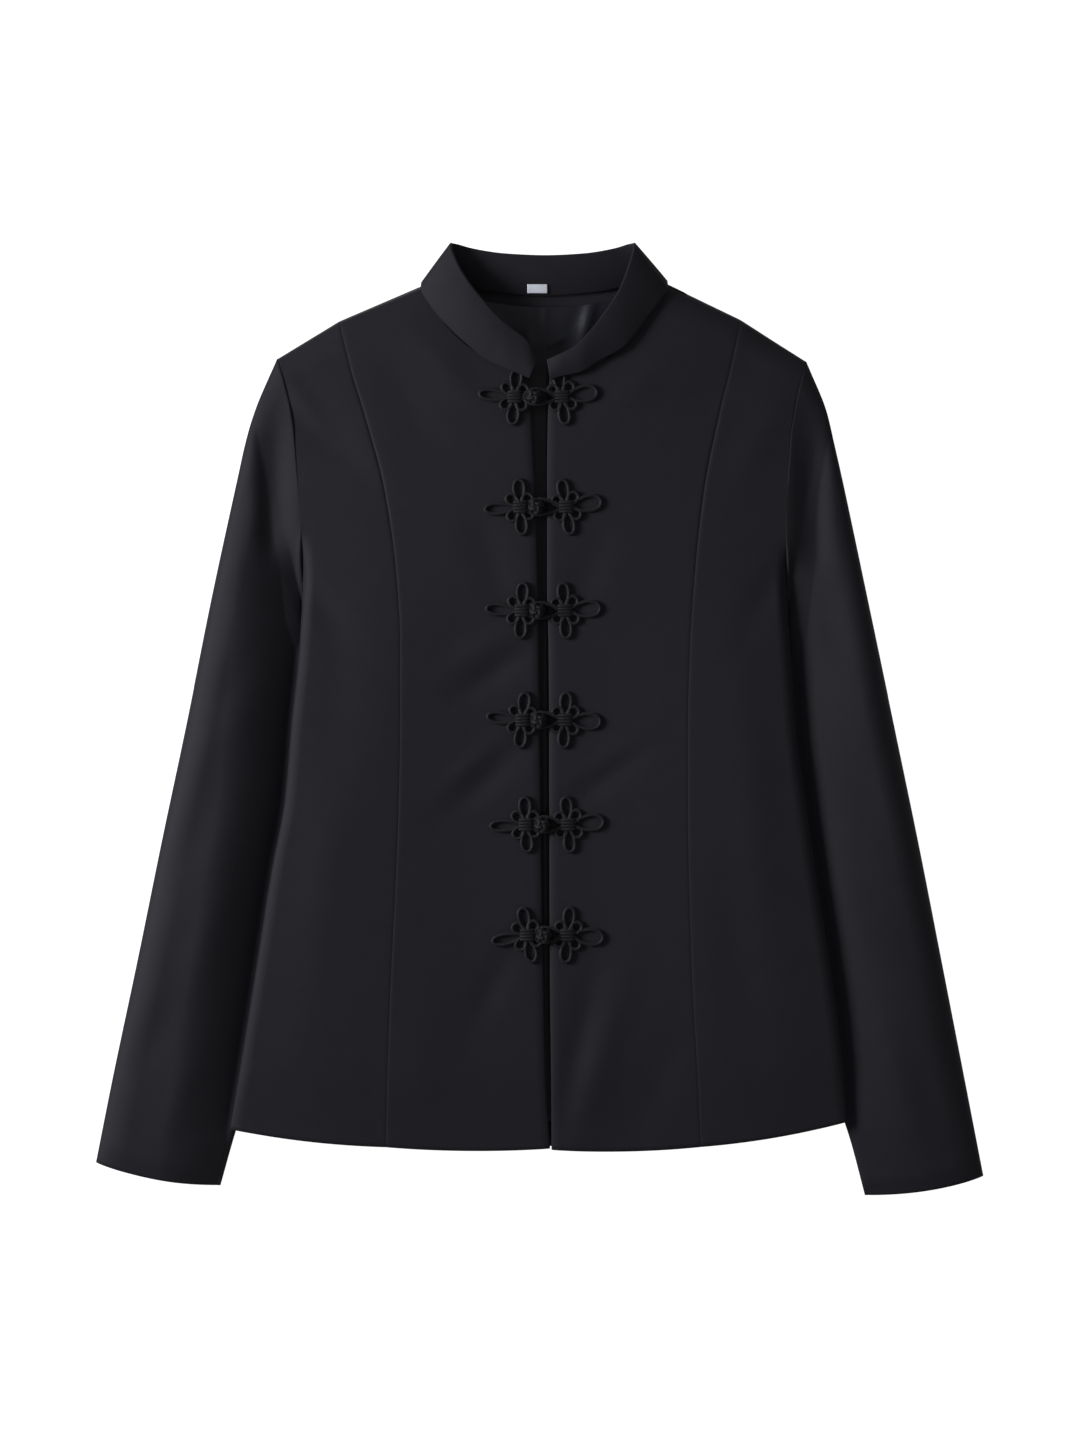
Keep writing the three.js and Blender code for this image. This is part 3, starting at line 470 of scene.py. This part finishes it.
def sleeve_surface(half):
    underarm_y = half.sleeve[0][2]
    climb = 46 if half is LEFT else 70

    def surface(around, v):
        on_top = (around >= 0) & (around <= 1)
        u = np.minimum(np.abs(around), 2 - around)
        level = mix(UNDERARM, 1, u)
        fade = (1 - v) ** 4
        arm_x, arm_y = half.side[0](level) + armhole_gap(u) - underarm_tuck(u), half.side[1](level)
        first_x = mix(half.inner[0](0), half.outer[0](0), u)
        first_y = mix(half.inner[1](0), half.outer[1](0), u)
        cuff_sag = CUFF_SAG * 4 * u * (1 - u) * smooth((v - 0.9) / 0.1)
        x = mix(half.inner[0](v), half.outer[0](v), u) + fade * (arm_x - first_x)
        y = mix(half.inner[1](v), half.outer[1](v), u) + fade * (arm_y - first_y) - cuff_sag
        above = y - underarm_y
        inner_edge = np.where(above > 0, half.armhole_x(y) + armhole_gap(above / 164), half.inner_x(y))
        from_inner = np.maximum(u * 30, x - inner_edge)
        from_outer = np.maximum(0, half.outer_x(y) - x)
        inner_roll = mix(roll(from_inner, SLEEVE_INNER_ROLL), 1, smooth((above + 5) / 25))
        closing = roll(from_outer, SLEEVE_ROLL + 8) * inner_roll
        fold = mix(INNER_Z(v), OUTER_Z(v), smooth(u))
        tuck = np.maximum(0, half.body_x(y) - half.inner_x(y)) * smooth(-above / 30)
        low = mix(SLEEVE_LOW, ARMHOLE_Z, smooth((above + 10) / 60))
        rise = np.sin(np.pi / 2 * clamp((from_inner - tuck - 3) / climb))
        folds = cap_fold(from_inner, above) + soft_folds(SLEEVE_FOLDS, half.sign * x, y)
        top = mix(low, CROWN_Z(v), rise) + folds
        turn = 2 * (1 - smooth((1 - v) * 40))
        top = fold + (top - turn - fold) * closing
        bottom = fold * (1 - closing)
        join = 1 - smooth(v / 0.08)
        sewn_top = front_z(half, arm_x, arm_y, level, 0, 1e3)
        sewn_bottom = back_z(half, arm_x, arm_y, level, 0)
        z = np.where(on_top, mix(top, sewn_top, join), mix(bottom, sewn_bottom, join))
        return np.stack([half.sign * x, y, z], axis=-1)

    return surface


def make_sleeves(half, cloth):
    surface = sleeve_surface(half)
    bend = cosine_spread(90)
    over = np.concatenate([bend, 2 - bend[::-1][1:]])
    turned = -bend[(bend > 0) & (bend < FOREARM_SEAM)][::-1]
    top = np.concatenate([[-FOREARM_SEAM], turned, over[over < HINDARM_SEAM], [HINDARM_SEAM]])
    inner_side = over[(over > HINDARM_SEAM) & (over < 2 - FOREARM_SEAM)]
    under = np.concatenate([[HINDARM_SEAM], inner_side, [2 - FOREARM_SEAM]])
    levels = np.linspace(0, 1, 200)
    name = f"sleeve_top_{half.name}"
    points, faces = wall(surface, top, levels, CLOTH, -half.sign)
    piece = new_piece(f"{name}_cloth", points, faces, cloth, [name])
    name = f"sleeve_under_{half.name}"
    points, faces = wall(surface, under, levels, CLOTH, -half.sign)
    piece = new_piece(f"{name}_cloth", points, faces, cloth, [name])


# ---- collar, lining, label -----------------------------------------------------------------------
def make_collar(cloth):
    keys = np.linspace(0, 1, len(COLLAR))
    tracks = [through(keys, [row[k] for row in COLLAR]) for k in range(6)]

    def surface(u, v):
        foot = np.stack([tracks[k](u) for k in range(3)], axis=-1)
        top = np.stack([tracks[k](u) for k in range(3, 6)], axis=-1)
        points = mix(foot, top, v[..., None])
        points[..., 2] += 1.2 * 4 * v * (1 - v)
        return points

    points, faces = wall(surface, np.linspace(0, 1, 400), np.linspace(0, 1, 24), 1.8, -1)
    piece = new_piece("collar_cloth", points, faces, cloth, ["collar"])


def make_lining(satin_and_gap_shade):
    def surface(u, v):
        half = mix(30, 54, smooth((v - 0.8) / 0.2))
        dip = 6 * 4 * u * (1 - u) * smooth((v - 0.9) / 0.1)
        y = mix(-300, 315.5, v) - dip
        pleat = 0.5 * np.exp(-(((u - 0.5) * 2 * half / 2.5) ** 2))
        x = mix(-half, half, u) + 4
        return np.stack([x, y, 3.2 + pleat + soft_folds(LINING_FOLDS, x, y)], axis=-1)

    rows = np.concatenate([np.linspace(0, 0.85, 60)[:-1], np.linspace(0.85, 1, 90)])
    points, faces = wall(surface, np.linspace(0, 1, 70), rows, LINING, 1)
    piece = new_piece("back_lining_cloth", points, faces, satin_and_gap_shade, ["back_lining"])


def make_label(white):
    def surface(u, v):
        x = mix(-7.5, 7.5, u) + LABEL_AT[0]
        across = mix(-3.35, 3.35, v)
        lift = 0.35 * np.sin(np.pi * u)
        return np.stack([x, LABEL_AT[1] + across * 0.936, LABEL_AT[2] + 0.4 + across * 0.352 + lift], axis=-1)

    points, faces = wall(surface, np.linspace(0, 1, 24), np.linspace(0, 1, 12), 0.6, 1)
    piece = new_piece("label_cloth", points, faces, white, ["label"])


# ---- cords ---------------------------------------------------------------------------------------
def rope(path, radius, turn=3.2, plies=3, sides=12, closed=True):
    """Points and faces of a laid cord along a path: its plies wind round it once every `turn` millimetres."""
    path = np.asarray(path, float)
    after = np.roll(path, -1, axis=0) if closed else np.vstack([path[1:], 2 * path[-1] - path[-2]])
    before = np.roll(path, 1, axis=0) if closed else np.vstack([2 * path[0] - path[1], path[:-1]])
    along = after - before
    along /= np.maximum(np.linalg.norm(along, axis=1, keepdims=True), 1e-9)
    up = np.array([0, 0, 1.0])
    across = np.cross(along, up)
    across /= np.maximum(np.linalg.norm(across, axis=1, keepdims=True), 1e-9)
    lifted = np.cross(across, along)
    run = np.concatenate([[0], np.cumsum(np.linalg.norm(np.diff(path, axis=0), axis=1))])
    phase = 2 * np.pi * run / turn
    angle = np.linspace(0, 2 * np.pi, sides, endpoint=False)
    lobes = radius * (0.9 + 0.16 * np.abs(np.cos(plies / 2 * (angle[None, :] - phase[:, None]))))
    sideways = across[:, None, :] * (lobes * np.cos(angle))[..., None]
    upward = lifted[:, None, :] * (lobes * np.sin(angle))[..., None]
    ring = sideways + upward
    points = path[:, None, :] + ring
    count = len(path)
    faces = []
    for i in range(count if closed else count - 1):
        k = (i + 1) % count
        for j in range(sides):
            m = (j + 1) % sides
            faces.append((i * sides + j, i * sides + m, k * sides + m, k * sides + j))
    if not closed:
        faces.append(tuple(range(sides - 1, -1, -1)))
        faces.append(tuple((count - 1) * sides + j for j in range(sides)))
    return points.reshape(-1, 3), faces


def join_parts(parts):
    points, faces, start = [], [], 0
    for part_points, part_faces in parts:
        points.append(part_points)
        faces += [tuple(i + start for i in face) for face in part_faces]
        start += len(part_points)
    return np.concatenate(points), faces


def front_top(half, x, y):
    """Height of the front under something laid on it near its edge."""
    level = half.level_at(y)
    return front_z(half, np.abs(x), y, level, 1e3, 1e3) + front_relief(x, y)


# direction in degrees, reach and width of each petal of a flower, outward being 0
PETALS = [
    (0, 27.5, 12.5), (45, 14, 10.5), (90, 21.5, 11), (135, 13, 10.5), (225, 13, 10.5), (270, 21.5, 11),
    (315, 14, 10.5),
]


def petal(direction, reach, width):
    """A teardrop of cord from the middle out to its reach and back."""
    t = np.linspace(0, 2 * np.pi, int(max(24, reach * 2.6)), endpoint=False)
    along = (reach - CORD / 2) * (1 - np.cos(t)) / 2
    across = (width - CORD) / 2 * np.sin(t) * np.sin(t / 2) ** 1.2 * 1.25
    turn = math.radians(direction)
    x = along * math.cos(turn) - across * math.sin(turn)
    y = along * math.sin(turn) + across * math.cos(turn)
    return x, y


def make_frog(half, row, number, cord):
    y0, knot, left, right, left_turn, right_turn = row
    centre, turned = (left, left_turn) if half is LEFT else (right, right_turn)
    parts = []
    for k, (direction, reach, width) in enumerate(PETALS):
        open_loop = 1.15 if half is RIGHT else 0.85
        px, py = petal(direction + turned, reach, width * open_loop if direction == 0 else width)
        x = centre + half.sign * px
        y = y0 + py
        near = np.hypot(px, py)
        z = front_top(half, x, y) + 0.6 + CORD / 2 + 0.5 * np.exp(-((near / 4) ** 2)) * (k % 3)
        parts.append(rope(np.stack([x, y, z], axis=1), CORD / 2 + 0.15))
    for k in range(4):
        t = np.linspace(0, 2 * np.pi, 40, endpoint=False)
        x = centre + 4.6 * np.cos(t)
        y = y0 + (k - 1.5) * 2.3 + 0 * t
        z = front_top(half, x, y) + 0.6 + CORD / 2 + 1.5 * np.sin(t) * 0.9 + 0.9
        parts.append(rope(np.stack([x, y, z], axis=1), 1.15))
    if half is RIGHT:
        t = np.linspace(0, 2 * np.pi, 80, endpoint=False)
        reach = centre - 3 - knot
        x = knot + reach / 2 - 3.6 + (reach / 2 + 3.6) * np.cos(t)
        y = y0 + 7.2 * np.sin(t) * (1 - 0.55 * (1 + np.cos(t)) / 2)
        z = front_top(half, np.maximum(x, 8), y) + 0.6 + CORD / 2 + 0.4
        parts.append(rope(np.stack([x, y, z], axis=1), CORD / 2 + 0.15))
    else:
        x = np.linspace(centre + 2, knot - 2, 24)
        for offset in (-1.3, 1.3):
            y = y0 + offset + 0 * x
            z = front_top(half, x, y) + 0.6 + CORD / 2 + 0.6
            parts.append(rope(np.stack([x, y, z], axis=1), CORD / 2, closed=False))
    points, faces = join_parts(parts)
    name = f"frog_{half.name}_{number}"
    new_piece(f"{name}_cord", points, faces, cord, [name])


def make_knot(row, number, cord):
    y0, knot = row[:2]
    z0 = float(front_top(LEFT, np.array(0.0), np.array(float(y0)))) + 0.6 + KNOT_RADIUS
    t = np.linspace(0, 2 * np.pi, 420, endpoint=False)
    parts = []
    longitude = 3 * t
    latitude = math.radians(62) * np.sin(4 * t)
    radius = KNOT_RADIUS - 1.1 + 0.45 * np.sin(8 * t + 0.5)
    x = radius * np.cos(latitude) * np.cos(longitude)
    y = radius * np.cos(latitude) * np.sin(longitude)
    z = radius * np.sin(latitude)
    parts.append(rope(np.stack([knot + x, y0 + y, z0 + z], axis=1), 1.35, turn=3.0))
    core = 4.3
    sphere_u = np.linspace(0, 2 * np.pi, 24, endpoint=False)
    rings = []
    for height in np.radians(np.linspace(-80, 80, 12)):
        reach = core * np.cos(height)
        ring_x = knot + reach * np.cos(sphere_u)
        ring_y = y0 + reach * np.sin(sphere_u)
        rings.append(np.stack([ring_x, ring_y, z0 + core * np.sin(height) + 0 * sphere_u], axis=1))
    faces = []
    for i in range(11):
        for j in range(24):
            m = (j + 1) % 24
            faces.append((i * 24 + j, i * 24 + m, (i + 1) * 24 + m, (i + 1) * 24 + j))
    faces.append(tuple(range(23, -1, -1)))
    faces.append(tuple(11 * 24 + j for j in range(24)))
    parts.append((np.concatenate(rings), faces))
    points, faces = join_parts(parts)
    new_piece(f"knot_{number}_cord", points, faces, cord, [f"knot_button_{number}"])


# ---- materials -----------------------------------------------------------------------------------
def cloth_material(name, colour, roughness, weave, bump, sheen, specular):
    """Woven cloth: two crossed sets of threads in the bump, slight slubs in the colour."""
    material = bpy.data.materials.new(name)
    material.use_nodes = True
    nodes, links = material.node_tree.nodes, material.node_tree.links
    shader = nodes["Principled BSDF"]
    shader.inputs["Roughness"].default_value = roughness
    shader.inputs["Sheen Weight"].default_value = sheen
    shader.inputs["Sheen Roughness"].default_value = 0.45
    shader.inputs["Specular IOR Level"].default_value = specular
    where = nodes.new("ShaderNodeTexCoord")
    threads = []
    for axis in ("X", "Y"):
        wave = nodes.new("ShaderNodeTexWave")
        wave.wave_type = "BANDS"
        wave.bands_direction = axis
        wave.inputs["Scale"].default_value = weave
        wave.inputs["Distortion"].default_value = 0.6
        wave.inputs["Detail"].default_value = 1
        links.new(where.outputs["Object"], wave.inputs["Vector"])
        threads.append(wave)
    both = nodes.new("ShaderNodeMath")
    both.operation = "MAXIMUM"
    links.new(threads[0].outputs["Fac"], both.inputs[0])
    links.new(threads[1].outputs["Fac"], both.inputs[1])
    height = nodes.new("ShaderNodeBump")
    height.inputs["Strength"].default_value = bump
    height.inputs["Distance"].default_value = 0.0002
    links.new(both.outputs[0], height.inputs["Height"])
    links.new(height.outputs["Normal"], shader.inputs["Normal"])
    cloud = nodes.new("ShaderNodeTexNoise")
    cloud.inputs["Scale"].default_value = 60
    cloud.inputs["Detail"].default_value = 5
    links.new(where.outputs["Object"], cloud.inputs["Vector"])
    ramp = nodes.new("ShaderNodeValToRGB")
    ramp.color_ramp.elements[0].position = 0.3
    ramp.color_ramp.elements[1].position = 0.75
    ramp.color_ramp.elements[0].color = (*[c * 0.95 for c in colour], 1)
    ramp.color_ramp.elements[1].color = (*[c * 1.05 for c in colour], 1)
    links.new(cloud.outputs["Fac"], ramp.inputs["Fac"])
    links.new(ramp.outputs["Color"], shader.inputs["Base Color"])
    return material


# ---- the picture ---------------------------------------------------------------------------------
def make_floor():
    mesh = bpy.data.meshes.new("floor")
    reach = 6
    corners = [(-reach, -reach, 0), (reach, -reach, 0), (reach, reach, 0), (-reach, reach, 0)]
    mesh.from_pydata(corners, [], [(0, 1, 2, 3)])
    floor = bpy.data.objects.new("floor", mesh)
    floor.location.z = -0.0005
    floor.visible_diffuse = False
    floor.visible_glossy = False
    material = bpy.data.materials.new("pale_floor")
    material.use_nodes = True
    shader = material.node_tree.nodes["Principled BSDF"]
    shader.inputs["Base Color"].default_value = (0.2, 0.2, 0.2, 1)
    shader.inputs["Roughness"].default_value = 1
    shader.inputs["Specular IOR Level"].default_value = 0
    shader.inputs["Emission Color"].default_value = (1, 1, 1, 1)
    shader.inputs["Emission Strength"].default_value = 1
    mesh.materials.append(material)
    bpy.context.scene.collection.objects.link(floor)


def make_light(name, place, aim, size, power, colour):
    lamp = bpy.data.lights.new(name, "AREA")
    lamp.size = size
    lamp.energy = power
    lamp.color = colour
    light = bpy.data.objects.new(name, lamp)
    light.location = place
    direction = [a - p for a, p in zip(aim, place)]
    light.rotation_euler = Vector(direction).to_track_quat("-Z", "Y").to_euler()
    bpy.context.scene.collection.objects.link(light)


def make_camera():
    view_height = 1.0728
    distance = 2.5
    lens = bpy.data.cameras.new("camera")
    lens.sensor_fit = "VERTICAL"
    lens.sensor_height = 36
    lens.lens = 36 * distance / view_height
    camera = bpy.data.objects.new("camera", lens)
    camera.location = (SHIFT[0], SHIFT[1], distance + 0.015)
    bpy.context.scene.collection.objects.link(camera)
    bpy.context.scene.camera = camera


make_camera()
suiting = cloth_material("suiting_weave", (0.0088, 0.0084, 0.0118), 0.58, 900, 0.35, 0.05, 0.12)
# Lining: the satin's own navy colour, darkened by half as painted shade so that the lining seen in the gap
# between the fronts reads dark.
satin_and_gap_shade = cloth_material("lining_satin_and_gap_shade", (0.0062, 0.0064, 0.0108), 0.36, 1500, 0.15, 0.02, 0.25)
cord = cloth_material("frog_cord", (0.0055, 0.0055, 0.0075), 0.5, 2200, 0.3, 0.04, 0.16)
white = cloth_material("label_satin", (0.52, 0.54, 0.6), 0.4, 1500, 0.2, 0.1, 0.4)
make_back(suiting)
make_lining(satin_and_gap_shade)
make_label(white)
for half in (LEFT, RIGHT):
    make_fronts(half, suiting)
    make_sleeves(half, suiting)
make_collar(suiting)
for number, row in enumerate(FROGS, start=1):
    make_frog(LEFT, row, number, cord)
    make_frog(RIGHT, row, number, cord)
    make_knot(row, number, cord)
make_floor()
make_light("key_left", (-1.7, 0.35, 0.95), (0, 0, 0), 0.7, 58, (0.95, 0.97, 1))
world = bpy.data.worlds.new("studio")
world.use_nodes = True
world.node_tree.nodes["Background"].inputs["Color"].default_value = (1, 1, 1, 1)
world.node_tree.nodes["Background"].inputs["Strength"].default_value = 0.32
bpy.context.scene.world = world
bpy.context.scene.view_settings.view_transform = "Standard"
